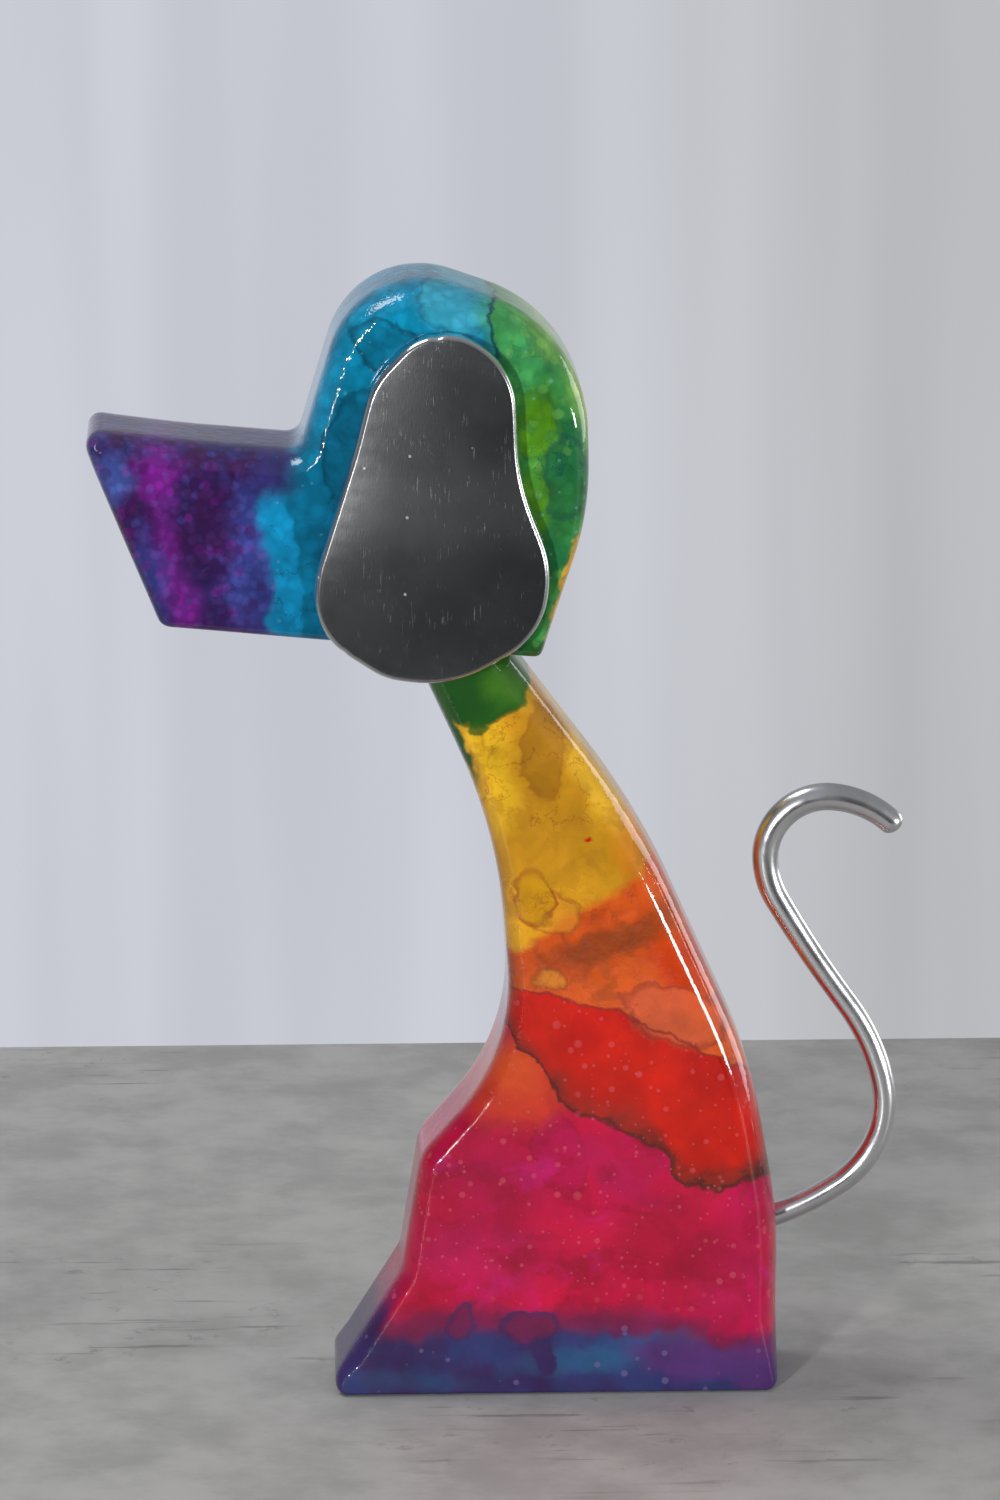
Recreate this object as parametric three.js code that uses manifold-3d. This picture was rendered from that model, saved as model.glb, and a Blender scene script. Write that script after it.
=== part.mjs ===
// Sitting dog figurine: a carved wooden body, a thicker wooden head block on the neck,
// a cast aluminium ear on each side of the head and a bent aluminium rod for a tail.
// Millimetres, +Z up. The dog looks along -X, and its left side is at -Y.
// The origin is on the table, at the middle of the base's underside.

import * as THREE from 'three';
import { mergeVertices } from 'three/addons/utils/BufferGeometryUtils.js';
import Module from 'manifold-3d';

const wasm = await Module();
wasm.setup();

// Driving dimensions: body
const bodyHeight = 203.6; // table to the middle of the neck's sawn top
const baseLength = 118.4; // toe to heel
const bodyThickness = 38;
const bodyRounding = 5; // rubbed into the long edges of both sides
const baseRounding = 3.2; // toe and heel of the sole, seen from the side
const soleRounding = 1.8; // the same long edges, down at the table
const toeRounding = 4;
const instepRounding = 4;

// Driving dimensions: head
const headLength = 130.5; // tip of the snout to the nape
const headHeight = 95.8; // underside to crown
const headThickness = 46;
const headRounding = 5;
const snoutRounding = 3.6; // tip, chin and stop of the snout, seen from the side
const napeRounding = 2.1; // lower back corner, seen from the side
const headTilt = THREE.MathUtils.degToRad(5.2); // nose up

// Driving dimensions: ears
const earHeight = 91.7;
const earWidth = 60.1;
const earThickness = 6.6; // at the rim
const earDoming = 1.8; // how far the lower lobe stands out past the rim
const earRounding = 2.4; // outer edge
const earBackRounding = 0.8; // edge against the head

// Driving dimensions: tail
const tailDiameter = 6.2; // where the rod leaves the body
const tailHookDiameter = 7.4; // the casting thickens around the upper hook
const tailTipDiameter = 6.8;
const tailTipDepth = 2.7; // length of its blunt rounding
const tailLength = 169.6; // along the rod, outside the body
const tailRootHeight = 43.7; // centre of the rod on the back of the body
const tailRootAngle = THREE.MathUtils.degToRad(18.3); // above the horizontal
const tailSocketDepth = 12;

// Clearance between touching pieces, and around the tail in its drilled socket
const fitGap = 0.3;

// Fineness of the faceted surface
const chordError = 0.03;
const coarsestTurn = THREE.MathUtils.degToRad(15);
const shoulderRun = 6; // from a tight corner to where the edge rounding is full again
const roundingSteps = 5;
const earEdgeSteps = 3;
const earFaceRings = [0.2, 0.45, 0.75]; // shares of the way from the rim to the ridge
const rodSides = 16;
const rodTipSteps = 4;
const rodTurnStep = THREE.MathUtils.degToRad(8);

// A corner of an outline: place as shares of its length and height, radius in millimetres
const corner = (length, height, shareX, shareZ, radius = 0) => ({
  place: new THREE.Vector2(shareX * length, shareZ * height),
  radius,
});

// A long bend of an outline: its radius is a share of the height as well
const bend = (length, height, shareX, shareZ, shareRadius) =>
  corner(length, height, shareX, shareZ, shareRadius * height);

// Side views, anticlockwise seen from the dog's left. The body starts at the sole of the toe
const bodySide = (() => {
  const at = (...shares) => corner(baseLength, bodyHeight, ...shares);
  const bow = (...shares) => bend(baseLength, bodyHeight, ...shares);
  return [
    at(-0.5, 0, baseRounding),
    at(0.5, 0, baseRounding),
    bow(0.5, 0.233, 0.61), // rump
    bow(0.439, 0.435, 0.694), // back
    bow(0.184, 0.764, 0.904), // shoulder
    at(-0.234, 1.09), // above the neck's top, to be sawn off
    at(-0.399, 1.09),
    bow(-0.136, 0.758, 0.695), // throat
    bow(-0.096, 0.458, 0.27), // breast
    bow(-0.307, 0.32, 0.044), // forelegs
    at(-0.35, 0.1655, instepRounding),
    at(-0.5, 0.0255, toeRounding),
  ];
})();

// The head's outline is measured from the middle of its seat on the neck
const headSide = (() => {
  const at = (...shares) => corner(headLength, headHeight, ...shares);
  const bow = (...shares) => bend(headLength, headHeight, ...shares);
  return [
    at(-0.592, 0, snoutRounding), // chin
    at(0.168, 0, napeRounding),
    bow(0.239, 0.414, 0.798), // back of the head
    bow(0.199, 0.899, 0.396), // crown
    bow(-0.266, 1.058, 0.262), // forehead
    at(-0.349, 0.505, snoutRounding), // stop
    bow(-0.561, 0.504, 1.46), // bridge of the snout
    at(-0.788, 0.515, snoutRounding), // tip
  ];
})();

// The ear's outline is measured from the middle of its lower lobe
const earSide = (() => {
  const bow = (...shares) => bend(earWidth, earHeight, ...shares);
  return [
    bow(-0.5, -0.198, 0.209), // lower lobe
    bow(-0.159, -0.317, 0.193),
    bow(0.13, -0.326, 0.341),
    bow(0.501, -0.157, 0.23),
    bow(0.513, 0.046, 0.302),
    bow(0.34, 0.28, 0.628), // waist
    bow(0.269, 0.626, 0.22), // upper lobe
    bow(-0.107, 0.707, 0.169),
    bow(-0.33, 0.52, 0.236),
    bow(-0.376, 0.326, 1.445), // waist
    bow(-0.493, -0.025, 0.276),
  ];
})();

// Middle line of the ear's doming, from the lower lobe to the upper one
const earRidge = new THREE.Line3(
  new THREE.Vector3(0.01 * earWidth, 0, 0),
  new THREE.Vector3(-0.03 * earWidth, 0, 0.46 * earHeight),
);

// Seat of an ear on the side of the head: middle of its lower lobe, from the head's origin
const earSeat = new THREE.Vector2(-0.068 * headLength, 0.231 * headHeight);

// Bends of the tail in order, as shares of its length, with the turn in degrees
const tailBends = [
  { share: 0.1185, turn: 17 },
  { share: 0.183, turn: 66 },
  { share: 0.1455, turn: 25 },
  { share: 0.203, turn: -6 },
  { share: 0.067, turn: -27 },
  { share: 0.163, turn: -98 },
  { share: 0.12, turn: -44 },
];

// The rod thickens between these shares of its length, and thins again up to its tip
const tailHookStart = 0.45;
const tailHookTop = 0.85;

// Turns corners into a closed outline of points, each corner an arc that meets its edges.
// Arcs that would overlap along an edge share it out between them.
function roundedOutline(corners) {
  const count = corners.length;
  const bends = corners.map(({ place, radius }, i) => {
    const before = corners[(i + count - 1) % count].place;
    const after = corners[(i + 1) % count].place;
    const arrive = place.clone().sub(before).normalize();
    const leave = after.clone().sub(place).normalize();
    const turn = Math.atan2(arrive.cross(leave), arrive.dot(leave));
    const half = Math.abs(Math.tan(turn / 2));
    return { place, arrive, turn, half, trim: radius * half };
  });
  const room = bends.map((current, i) => {
    const next = bends[(i + 1) % count];
    const edge = current.place.distanceTo(next.place);
    return Math.min(1, edge / Math.max(current.trim + next.trim, Number.EPSILON));
  });
  const points = [];
  bends.forEach(({ place, arrive, turn, half, trim }, i) => {
    const used = trim * Math.min(room[i], room[(i + count - 1) % count]);
    if (used === 0) {
      points.push(place.clone());
      return;
    }
    const radius = used / half;
    const finest = 2 * Math.acos(1 - chordError / Math.max(radius, 2 * chordError));
    const steps = Math.ceil(Math.abs(turn) / Math.min(finest, coarsestTurn));
    const start = place.clone().addScaledVector(arrive, -used);
    const inward = new THREE.Vector2(-arrive.y, arrive.x).multiplyScalar(Math.sign(turn));
    const centre = start.clone().addScaledVector(inward, radius);
    for (let step = 0; step <= steps; step += 1) {
      points.push(start.clone().rotateAround(centre, (turn * step) / steps));
    }
  });
  return dropRepeats(points);
}

function dropRepeats(points) {
  return points.filter((point, i) => {
    const before = points[(i + points.length - 1) % points.length];
    return point.distanceTo(before) > chordError;
  });
}

// Outward direction at each point of an anticlockwise outline
function outlineNormals(points) {
  return points.map((point, i) => {
    const before = points[(i + points.length - 1) % points.length];
    const after = points[(i + 1) % points.length];
    const arrive = point.clone().sub(before).normalize();
    const leave = after.clone().sub(point).normalize();
    const along = arrive.add(leave).normalize();
    return new THREE.Vector2(along.y, -along.x);
  });
}

// How far the edge rounding may reach in at each point, for the sake of that point alone:
// the wanted radius, but less than the radius of a tight corner.
function ownReach(points, wanted) {
  const shareOfCorner = 0.85;
  return points.map((point, i) => {
    const before = points[(i + points.length - 1) % points.length];
    const after = points[(i + 1) % points.length];
    const arrive = point.clone().sub(before);
    const leave = after.clone().sub(point);
    const turn = Math.atan2(arrive.cross(leave), arrive.dot(leave));
    const run = Math.min(arrive.length(), leave.length());
    return turn > 0 ? Math.min(wanted(point), (shareOfCorner * run) / turn) : wanted(point);
  });
}

// The same with its neighbours in mind: beside a tight corner it grows with the distance
function roundingReach(points, wanted) {
  const growth = 0.6;
  const own = ownReach(points, wanted);
  return points.map((point) =>
    Math.min(...points.map((other, k) => own[k] + growth * point.distanceTo(other))),
  );
}

// Puts a point on each long edge a little way from a tight corner
function withShoulders(points, wanted) {
  const shortestEdge = 3 * shoulderRun;
  const own = ownReach(points, wanted);
  return points.flatMap((point, i) => {
    const k = (i + 1) % points.length;
    const next = points[k];
    const length = point.distanceTo(next);
    const share = shoulderRun / length;
    if (length < shortestEdge) return [point];
    const added = [point];
    if (own[i] < wanted(point)) added.push(point.clone().lerp(next, share));
    if (own[k] < wanted(next)) added.push(point.clone().lerp(next, 1 - share));
    return added;
  });
}

// Closed skin over rings of points that run from -Y to +Y. Both end rings are filled in.
function skin(rings) {
  const count = rings[0].length;
  const positions = rings.flat().flatMap((point) => [point.x, point.y, point.z]);
  const faces = [];
  for (let ring = 0; ring + 1 < rings.length; ring += 1) {
    for (let i = 0; i < count; i += 1) {
      const next = (i + 1) % count;
      const [a, b] = [ring * count + i, ring * count + next];
      const [c, d] = [b + count, a + count];
      faces.push(a, c, b, a, d, c);
    }
  }
  const fill = (ring) => {
    const flat = rings[ring].map((point) => new THREE.Vector2(point.x, point.z));
    return THREE.ShapeUtils.triangulateShape(flat, []).map((face) =>
      face.map((i) => i + ring * count),
    );
  };
  fill(0).forEach(([a, b, c]) => faces.push(a, b, c));
  fill(rings.length - 1).forEach(([a, b, c]) => faces.push(a, c, b));
  return surface(positions, faces);
}

function surface(positions, faces) {
  const geometry = new THREE.BufferGeometry();
  geometry.setAttribute('position', new THREE.Float32BufferAttribute(positions, 3));
  geometry.setIndex(faces);
  return geometry;
}

const placeRing = (points, normals, inset, depth) =>
  points.map((point, i) => {
    const moved = point.clone().addScaledVector(normals[i], -inset(i));
    return new THREE.Vector3(moved.x, depth(i), moved.y);
  });

// A board cut to an outline, standing in the XZ plane, with all its edges rounded
function roundedBoard(outline, thickness, wanted) {
  const points = withShoulders(outline, wanted);
  const normals = outlineNormals(points);
  const reach = roundingReach(points, wanted);
  const quarter = Array.from(
    { length: roundingSteps + 1 },
    (_, step) => ((Math.PI / 2) * step) / roundingSteps,
  );
  const half = (side) =>
    quarter.map((angle) =>
      placeRing(
        points,
        normals,
        (i) => reach[i] * (1 - Math.sin(angle)),
        (i) => side * (thickness / 2 - reach[i] * (1 - Math.cos(angle))),
      ),
    );
  return skin([...half(-1), ...half(1).reverse()]);
}

// The same surface with its seams and poles closed
function withoutSeams(geometry) {
  const bare = geometry.clone();
  bare.deleteAttribute('normal');
  bare.deleteAttribute('uv');
  const merged = mergeVertices(bare);
  const corners = Array.from(merged.index.array);
  const faces = [];
  for (let i = 0; i < corners.length; i += 3) {
    const face = corners.slice(i, i + 3);
    if (new Set(face).size === 3) faces.push(...face);
  }
  return surface(merged.attributes.position.array, faces);
}

function toSolid(geometry) {
  const merged = withoutSeams(geometry);
  return new wasm.Manifold(
    new wasm.Mesh({
      numProp: 3,
      vertProperties: new Float32Array(merged.attributes.position.array),
      triVerts: new Uint32Array(merged.index.array),
    }),
  );
}

function toGeometry(solid) {
  const mesh = solid.getMesh();
  return surface(mesh.vertProperties, Array.from(mesh.triVerts));
}

// Where an outline crosses a height, lowest x first
function crossings(points, height) {
  const found = [];
  points.forEach((point, i) => {
    const next = points[(i + 1) % points.length];
    if (point.y > height !== next.y > height) {
      found.push(point.clone().lerp(next, (height - point.y) / (next.y - point.y)).x);
    }
  });
  return found.sort((a, b) => a - b);
}

const bodyOutline = roundedOutline(bodySide);
const [throatX, napeX] = crossings(bodyOutline, bodyHeight);
const neckTop = new THREE.Vector3((throatX + napeX) / 2, 0, bodyHeight);
const tailRoot = new THREE.Vector3(crossings(bodyOutline, tailRootHeight)[1], 0, tailRootHeight);

// Everything above the neck's sawn top, which lies along the tilted underside of the head
function neckOffcut() {
  const reach = 2 * bodyThickness;
  const block = new THREE.BoxGeometry(reach, reach, reach);
  block.translate(0, 0, reach / 2 - fitGap);
  block.rotateY(headTilt);
  block.translate(neckTop.x, 0, neckTop.z);
  return toSolid(block);
}

// Blind hole along the root of the tail, open at the back of the body
function tailSocket() {
  const mouth = tailDiameter;
  const drill = new THREE.CylinderGeometry(
    tailDiameter / 2 + fitGap,
    tailDiameter / 2 + fitGap,
    tailSocketDepth + mouth,
    rodSides,
  );
  drill.translate(0, (mouth - tailSocketDepth) / 2, 0);
  drill.rotateZ(-Math.PI / 2);
  drill.rotateY(-tailRootAngle);
  drill.translate(tailRoot.x, 0, tailRoot.z);
  return toSolid(drill);
}

function bodyGeometry() {
  const soleToSide = (point) => THREE.MathUtils.clamp(point.y, soleRounding, bodyRounding);
  const board = roundedBoard(bodyOutline, bodyThickness, soleToSide);
  return toGeometry(toSolid(board).subtract(neckOffcut()).subtract(tailSocket()));
}

function headGeometry() {
  return roundedBoard(roundedOutline(headSide), headThickness, () => headRounding);
}

// An ear lies flat against its side of the head. Its outer face swells towards the ridge
// and stands out furthest over the wide lower lobe.
function earGeometry(side) {
  const points = roundedOutline(earSide);
  const normals = outlineNormals(points);
  const reach = roundingReach(points, () => earRounding);
  const backReach = roundingReach(points, () => earBackRounding);
  const back = [0, 1].map((step) =>
    placeRing(
      points,
      normals,
      (i) => backReach[i] * (1 - step),
      (i) => backReach[i] * step,
    ),
  );
  const edge = Array.from({ length: earEdgeSteps + 1 }, (_, step) => {
    const angle = ((Math.PI / 2) * step) / earEdgeSteps;
    return placeRing(
      points,
      normals,
      (i) => reach[i] * (1 - Math.cos(angle)),
      (i) => earThickness - reach[i] * (1 - Math.sin(angle)),
    );
  });
  const rim = edge.at(-1);
  const ridge = rim.map((point) =>
    earRidge.closestPointToPoint(new THREE.Vector3(point.x, 0, point.z), true, new THREE.Vector3()),
  );
  const widths = rim.map((point, i) => Math.hypot(point.x - ridge[i].x, point.z - ridge[i].z));
  const widest = Math.max(...widths);
  const face = earFaceRings.map((share) =>
    rim.map((point, i) => {
      const moved = point.clone().lerp(ridge[i], share);
      const fullness = Math.sin((Math.PI / 2) * share) * (widths[i] / widest);
      moved.y = earThickness + earDoming * fullness;
      return moved;
    }),
  );
  const rings = [...back, ...edge, ...face].map((ring) =>
    ring.map((point) => new THREE.Vector3(point.x, side * point.y, point.z)),
  );
  return skin(side > 0 ? rings : rings.reverse());
}

// Chord of an arc of a given length that starts along a heading and turns evenly
function arcStep(heading, run, turn) {
  const chord = turn === 0 ? run : (2 * run * Math.sin(turn / 2)) / turn;
  const along = heading + turn / 2;
  return new THREE.Vector2(Math.cos(along), Math.sin(along)).multiplyScalar(chord);
}

// Place and heading of the tail's centre line at a distance from the back of the body.
// Inside the socket, where the distance is negative, the rod is straight.
function tailCentre(distance) {
  const inside = Math.min(distance, 0);
  const place = new THREE.Vector2(tailRoot.x, tailRoot.z);
  let heading = tailRootAngle;
  let left = distance - inside;
  place.add(arcStep(heading, inside, 0));
  for (const { share, turn } of tailBends) {
    const run = share * tailLength;
    const used = Math.min(left, run);
    const turned = (THREE.MathUtils.degToRad(turn) * used) / run;
    place.add(arcStep(heading, used, turned));
    heading += turned;
    left -= used;
  }
  return { place, heading };
}

// Radius of the rod at a distance from the body, without the rounding of its tip
function tailRadius(distance) {
  const hookStart = tailHookStart * tailLength;
  const hookTop = tailHookTop * tailLength;
  const thicken = THREE.MathUtils.smoothstep(distance, hookStart, hookTop);
  const taper = THREE.MathUtils.smoothstep(distance, hookTop, tailLength);
  const diameter = THREE.MathUtils.lerp(
    THREE.MathUtils.lerp(tailDiameter, tailHookDiameter, thicken),
    tailTipDiameter,
    taper,
  );
  return diameter / 2;
}

// The rod is turned as a straight bar with a blunt round tip, and then bent
function tailGeometry() {
  const root = fitGap - tailSocketDepth;
  const shoulder = tailLength - tailTipDepth;
  const profile = [new THREE.Vector2(0, root), new THREE.Vector2(tailRadius(root), root)];
  let passed = 0;
  for (const { share, turn } of tailBends) {
    const run = share * tailLength;
    const steps = Math.ceil(Math.abs(THREE.MathUtils.degToRad(turn)) / rodTurnStep);
    for (let step = 0; step < steps; step += 1) {
      const distance = passed + (run * step) / steps;
      if (distance < shoulder) profile.push(new THREE.Vector2(tailRadius(distance), distance));
    }
    passed += run;
  }
  for (let step = 0; step <= rodTipSteps; step += 1) {
    const angle = ((Math.PI / 2) * step) / rodTipSteps;
    const radius = step === rodTipSteps ? 0 : tailRadius(shoulder) * Math.cos(angle);
    profile.push(new THREE.Vector2(radius, shoulder + tailTipDepth * Math.sin(angle)));
  }
  const rod = withoutSeams(new THREE.LatheGeometry(profile, rodSides));
  const vertices = rod.attributes.position;
  for (let i = 0; i < vertices.count; i += 1) {
    const { place, heading } = tailCentre(vertices.getY(i));
    const outward = vertices.getX(i);
    vertices.setXYZ(
      i,
      place.x - outward * Math.sin(heading),
      vertices.getZ(i),
      place.y + outward * Math.cos(heading),
    );
  }
  return rod;
}

function piece(name, geometry, finish) {
  const mesh = new THREE.Mesh(geometry, new THREE.MeshStandardMaterial(finish));
  mesh.name = name;
  return mesh;
}

const figurine = new THREE.Group();
const head = new THREE.Group();
head.position.copy(neckTop);
head.rotation.y = headTilt;
figurine.add(head);

figurine.add(piece('body', bodyGeometry(), { color: 0xd8282e, roughness: 0.12, metalness: 0 }));
head.add(piece('head', headGeometry(), { color: 0x1579a8, roughness: 0.12, metalness: 0 }));
for (const [name, side] of [['ear_left', -1], ['ear_right', 1]]) {
  const ear = piece(name, earGeometry(side), { color: 0x8d8e90, roughness: 0.35, metalness: 1 });
  ear.position.set(earSeat.x, side * (headThickness / 2 + fitGap), earSeat.y);
  head.add(ear);
}
figurine.add(piece('tail', tailGeometry(), { color: 0xc9cacd, roughness: 0.2, metalness: 1 }));

export default figurine;
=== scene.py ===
# Sitting dog figurine: inked wood under a clear gloss coat, cast aluminium ears and a rod tail.
# Metres, +Z up. The dog looks along -X, and its left side is at -Y.

import math

import bmesh
import bpy
import numpy as np
from mathutils import Matrix, Vector, noise
from mathutils.geometry import delaunay_2d_cdt


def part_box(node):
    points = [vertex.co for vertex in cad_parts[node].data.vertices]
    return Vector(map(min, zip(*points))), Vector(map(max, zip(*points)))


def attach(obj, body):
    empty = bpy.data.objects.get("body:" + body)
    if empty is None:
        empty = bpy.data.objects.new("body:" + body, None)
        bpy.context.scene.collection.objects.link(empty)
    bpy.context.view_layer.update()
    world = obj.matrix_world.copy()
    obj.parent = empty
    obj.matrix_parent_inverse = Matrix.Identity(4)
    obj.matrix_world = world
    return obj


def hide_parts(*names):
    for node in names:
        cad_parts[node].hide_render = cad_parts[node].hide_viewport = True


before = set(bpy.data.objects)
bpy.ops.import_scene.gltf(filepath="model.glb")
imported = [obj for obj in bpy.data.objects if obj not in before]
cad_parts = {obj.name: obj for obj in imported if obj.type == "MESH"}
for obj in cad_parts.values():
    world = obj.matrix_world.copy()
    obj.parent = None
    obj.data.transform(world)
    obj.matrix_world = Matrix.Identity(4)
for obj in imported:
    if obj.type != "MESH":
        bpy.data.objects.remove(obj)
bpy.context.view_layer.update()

MM = 0.001

# Shapes that the solids carry too; sanding and coat leave their long edges softer, most of all
# across the thickness
BODY_ROUNDING = 7 * MM
CHEST_ROUNDING = 4.5 * MM
SOLE_ROUNDING = 1.2 * MM
SOLE_FLARE = 0.3
HEAD_ROUNDING = 6.5 * MM
UNDER_HEAD_ROUNDING = 2.2 * MM
PILLOW = 1.9
# Share of half the thickness that a rounding may take at most
DEEPEST_ROUNDING = 0.8
HEAD_TILT = math.radians(5.2)
EAR_ROUNDING = 2.4 * MM
EAR_BACK_ROUNDING = 0.8 * MM
EAR_DOMING = 0.9 * MM
TAIL_DIAMETER = 6.2 * MM
TAIL_HOOK_DIAMETER = 7.4 * MM
TAIL_TIP_DIAMETER = 6.8 * MM
TAIL_TIP_DEPTH = 2.7 * MM
TAIL_LENGTH = 169.6 * MM
TAIL_ROOT_HEIGHT = 43.7 * MM
TAIL_ROOT_ANGLE = 18.3
TAIL_SOCKET_DEPTH = 12 * MM
FIT_GAP = 0.3 * MM
# Bends of the tail in order: share of its length, and turn in degrees
TAIL_BENDS = (
    (0.1185, 17), (0.183, 66), (0.1455, 25), (0.203, -6), (0.067, -27), (0.163, -98), (0.12, -44),
)
TAIL_HOOK_START = 0.45
TAIL_HOOK_TOP = 0.85
TAIL_UNEVENNESS = 0.012
TAIL_SWELL = 9 * MM
TAIL_SWELL_RADIUS = 3 * MM

# Fineness of the surfaces
POINT_SPACING = 1.0 * MM
FACE_SPACING = 3.0 * MM
EDGE_STEPS = 12
WALL_STEPS = 5
EAR_POINT_SPACING = 0.7 * MM
EAR_FACE_SPACING = 1.5 * MM
OUTLINE_SOFTENING = 0.6 * MM
EAR_SOFTENING = 0.5 * MM
TAIL_STEP = 0.8 * MM
TAIL_SIDES = 40
DRILL_SIDES = 48
SAME_PLACE = 1e-7
SAME_POINT = 1e-9
SHARP_EDGE = math.radians(50)
# An inset point this much nearer to the outline than it was moved lies in a fold
FOLDED_BELOW = 0.985
# Run over which one rounding passes into the next
ROUNDING_BLEND = 4 * MM

# The poured coat isn't quite flat: it sinks in this far at most, in swells of this length
COAT_SINK = 0.22 * MM
COAT_SWELL = 26 * MM
COAT_PEEL = 0.11 * MM


def plane_section(node, y):
    """Outline of a CAD node where the plane at y cuts it: points (x, z), anticlockwise."""
    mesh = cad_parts[node].data
    mesh.calc_loop_triangles()
    places = np.array([vertex.co for vertex in mesh.vertices])
    places, index = np.unique(np.round(places, 7), axis=0, return_inverse=True)
    index = index.reshape(-1)
    beyond = places[:, 1] > y
    beside = {}
    for triangle in mesh.loop_triangles:
        corners = [int(index[v]) for v in triangle.vertices]
        sides = zip(corners, corners[1:] + corners[:1])
        crossed = [tuple(sorted(side)) for side in sides if beyond[side[0]] != beyond[side[1]]]
        if crossed:
            first, second = crossed
            beside.setdefault(first, []).append(second)
            beside.setdefault(second, []).append(first)
    start = next(iter(beside))
    walk = [start]
    before, here = start, beside[start][0]
    while here != start:
        walk.append(here)
        ahead = [edge for edge in beside[here] if edge != before]
        before, here = here, ahead[0]
    ends = places[np.array(walk)]
    share = (y - ends[:, 0, 1]) / (ends[:, 1, 1] - ends[:, 0, 1])
    loop = (ends[:, 0] + share[:, None] * (ends[:, 1] - ends[:, 0]))[:, (0, 2)]
    ahead = np.roll(loop, -1, axis=0)
    area = np.sum(loop[:, 0] * ahead[:, 1] - loop[:, 1] * ahead[:, 0])
    return loop if area > 0 else loop[::-1]


def blurred(values, step, width):
    """Values around a closed loop, smoothed over a width along it."""
    waves = np.fft.fftfreq(len(values), d=step)
    return np.fft.ifft(np.fft.fft(values) * np.exp(-2 * (math.pi * waves * width) ** 2))


def even_outline(loop, spacing, softening=OUTLINE_SOFTENING, finer=4):
    """The same closed outline with even points and its facets smoothed away."""
    closed = np.vstack([loop, loop[:1]])
    along = np.concatenate([[0], np.cumsum(np.linalg.norm(np.diff(closed, axis=0), axis=1))])
    count = finer * round(along[-1] / spacing)
    even = np.linspace(0, along[-1], count, endpoint=False)
    x, z = (np.interp(even, along, closed[:, axis]) for axis in (0, 1))
    smooth = blurred(x + 1j * z, along[-1] / count, softening)[::finer]
    return np.column_stack([smooth.real, smooth.imag])


def outward(points):
    along = np.roll(points, -1, axis=0) - np.roll(points, 1, axis=0)
    along /= np.linalg.norm(along, axis=1)[:, None]
    return np.column_stack([along[:, 1], -along[:, 0]])


def distance_to(points, others):
    return np.linalg.norm(points[:, None] - others[None], axis=2).min(axis=1)


def inset_outline(points, inset):
    """The outline moved inward, with the folds that this makes at outer corners gathered up."""
    moved = points - outward(points) * inset[:, None]
    folded = distance_to(moved, points) < FOLDED_BELOW * inset
    if not folded.any():
        return moved
    start = int(np.flatnonzero(~folded)[0])
    order = np.roll(np.arange(len(points)), -start)
    sound = np.flatnonzero(~folded[order])
    places = moved[order]
    whole = np.append(sound, len(points))
    ends = np.vstack([places[sound], places[:1]])
    gathered = np.column_stack(
        [np.interp(np.arange(len(points)), whole, ends[:, axis]) for axis in (0, 1)]
    )
    return np.roll(gathered, start, axis=0)


def inside(points, loop):
    """Which points lie inside a closed loop."""
    x, z = points[:, 0, None], points[:, 1, None]
    (x0, z0), (x1, z1) = loop.T, np.roll(loop, -1, axis=0).T
    spans = (z0 > z) != (z1 > z)
    rise = np.where(z1 == z0, 1, z1 - z0)
    return np.sum(spans & (x < (x1 - x0) * (z - z0) / rise + x0), axis=1) % 2 == 1


def filled(loop, spacing):
    """Triangles that fill a loop, with a grid of points inside. Gives points, then faces."""
    low, high = loop.min(axis=0), loop.max(axis=0)
    grid = np.stack(
        np.meshgrid(np.arange(low[0], high[0], spacing), np.arange(low[1], high[1], spacing)), -1
    ).reshape(-1, 2)
    grid = grid[inside(grid, loop)]
    grid = grid[distance_to(grid, loop) > spacing / 2]
    every = np.vstack([loop, grid])
    only_inside = 1
    points, _, faces, origins, _, _ = delaunay_2d_cdt(
        [Vector(point) for point in every], [], [list(range(len(loop)))], only_inside, SAME_POINT
    )
    source = [
        origin[0] if origin else int(np.argmin(np.linalg.norm(every - np.array(point), axis=1)))
        for origin, point in zip(origins, points)
    ]
    faces = [tuple(source[v] for v in face) for face in faces]
    whole = {frozenset(face): face for face in faces if len(set(face)) == len(face)}
    return every, list(whole.values())


def skinned(rings, spacing):
    """Closed mesh over rings of points (x, y, z) from the flat -Y face to the flat +Y face."""
    mesh = bmesh.new()
    rows = [[mesh.verts.new(point) for point in ring] for ring in rings]
    count = len(rings[0])
    for near, far in zip(rows, rows[1:]):
        for i in range(count):
            k = (i + 1) % count
            mesh.faces.new((near[i], far[i], far[k], near[k]))
    for row, ring in ((rows[0], rings[0]), (rows[-1], rings[-1])):
        points, faces = filled(ring[:, (0, 2)], spacing)
        corners = row + [mesh.verts.new((x, ring[0, 1], z)) for x, z in points[count:]]
        for face in faces:
            order = face if row is rows[0] else face[::-1]
            mesh.faces.new([corners[v] for v in order])
    bmesh.ops.recalc_face_normals(mesh, faces=mesh.faces[:])
    return mesh


def board(points, thickness, reach):
    """A board that stands in the XZ plane, with both its long edges rounded."""
    deep = np.minimum(PILLOW * reach, DEEPEST_ROUNDING * thickness / 2)

    def ring(inset, depth):
        moved = inset_outline(points, inset)
        return np.column_stack([moved[:, 0], depth, moved[:, 1]])

    def rounded(side):
        angles = np.linspace(0, math.pi / 2, EDGE_STEPS + 1)
        return [
            ring(
                reach * (1 - math.sin(angle)),
                side * (thickness / 2 - deep * (1 - math.cos(angle))),
            )
            for angle in angles
        ]

    wall = [
        ring(np.zeros(len(points)), (2 * step / WALL_STEPS - 1) * (thickness / 2 - deep))
        for step in range(1, WALL_STEPS)
    ]
    return skinned(rounded(-1) + wall + rounded(1)[::-1], FACE_SPACING)


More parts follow.
